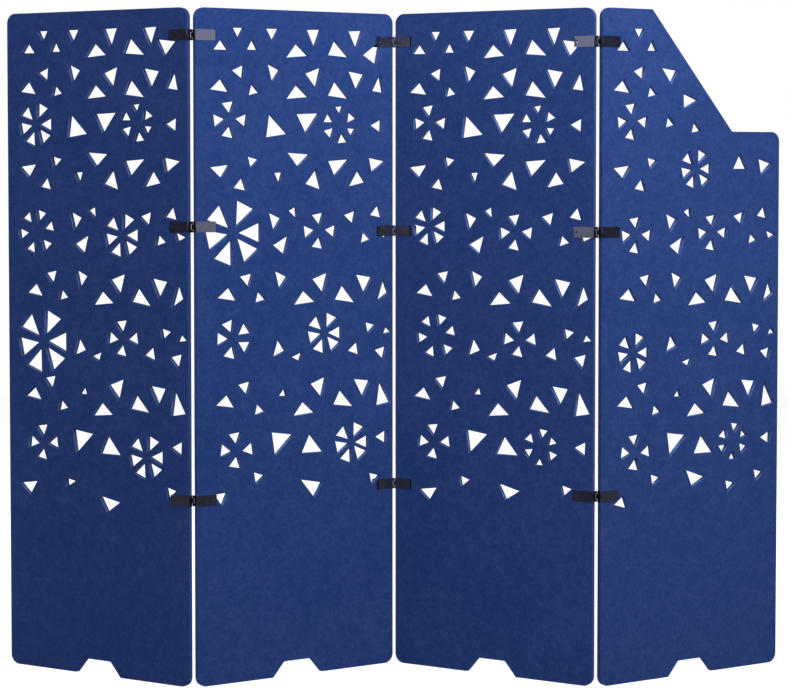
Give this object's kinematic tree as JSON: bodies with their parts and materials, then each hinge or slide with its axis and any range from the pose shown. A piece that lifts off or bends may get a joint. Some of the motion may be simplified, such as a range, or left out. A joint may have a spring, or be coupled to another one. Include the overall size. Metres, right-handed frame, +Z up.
{
  "type": "folding office partition",
  "caption": "Free-standing zig-zag screen of perforated felt boards joined by black clip hinges, with a stepped top at one end.",
  "frame": {"origin": "the middle of the floor area that the zig-zag covers, at floor level", "axes": "+X to the right along the screen's width, +Y to the back, away from the viewer, +Z up"},
  "size_m": [1.7748, 0.2622, 1.5],
  "materials": {
    "felt": "matte pressed felt, navy blue",
    "clip_metal": "satin black",
    "pin_metal": "satin black"
  },
  "bodies": {
    "first_board": {"panel_1": "felt", "hinge_12_upper_left_clip": "clip_metal", "hinge_12_middle_left_clip": "clip_metal", "hinge_12_lower_left_clip": "clip_metal", "hinge_12_upper_pin": "pin_metal", "hinge_12_middle_pin": "pin_metal"},
    "second_board": {"panel_2": "felt", "hinge_12_upper_right_clip": "clip_metal", "hinge_12_middle_right_clip": "clip_metal", "hinge_12_lower_right_clip": "clip_metal", "hinge_12_lower_pin": "pin_metal", "hinge_23_upper_left_clip": "clip_metal", "hinge_23_middle_left_clip": "clip_metal", "hinge_23_lower_left_clip": "clip_metal", "hinge_23_upper_pin": "pin_metal", "hinge_23_middle_pin": "pin_metal", "hinge_23_lower_pin": "pin_metal"},
    "third_board": {"panel_3": "felt", "hinge_23_upper_right_clip": "clip_metal", "hinge_23_middle_right_clip": "clip_metal", "hinge_23_lower_right_clip": "clip_metal", "hinge_34_upper_left_clip": "clip_metal", "hinge_34_middle_left_clip": "clip_metal", "hinge_34_lower_left_clip": "clip_metal", "hinge_34_upper_pin": "pin_metal", "hinge_34_middle_pin": "pin_metal", "hinge_34_lower_pin": "pin_metal"},
    "fourth_board": {"panel_4": "felt", "hinge_34_upper_right_clip": "clip_metal", "hinge_34_middle_right_clip": "clip_metal", "hinge_34_lower_right_clip": "clip_metal"}
  },
  "joints": [
    {"name": "fold_1_2", "type": "hinge", "parent": "second_board", "child": "first_board", "pos_m": [-0.44528, -0.11907, 0], "axis": [0, 0, 1], "range_deg": [-120, 60]},
    {"name": "fold_2_3", "type": "hinge", "parent": "second_board", "child": "third_board", "pos_m": [0, 0.11907, 0], "axis": [0, 0, 1], "range_deg": [-120, 60]},
    {"name": "fold_3_4", "type": "hinge", "parent": "third_board", "child": "fourth_board", "pos_m": [0.44528, -0.11907, 0], "axis": [0, 0, 1], "range_deg": [-60, 120]}
  ]
}
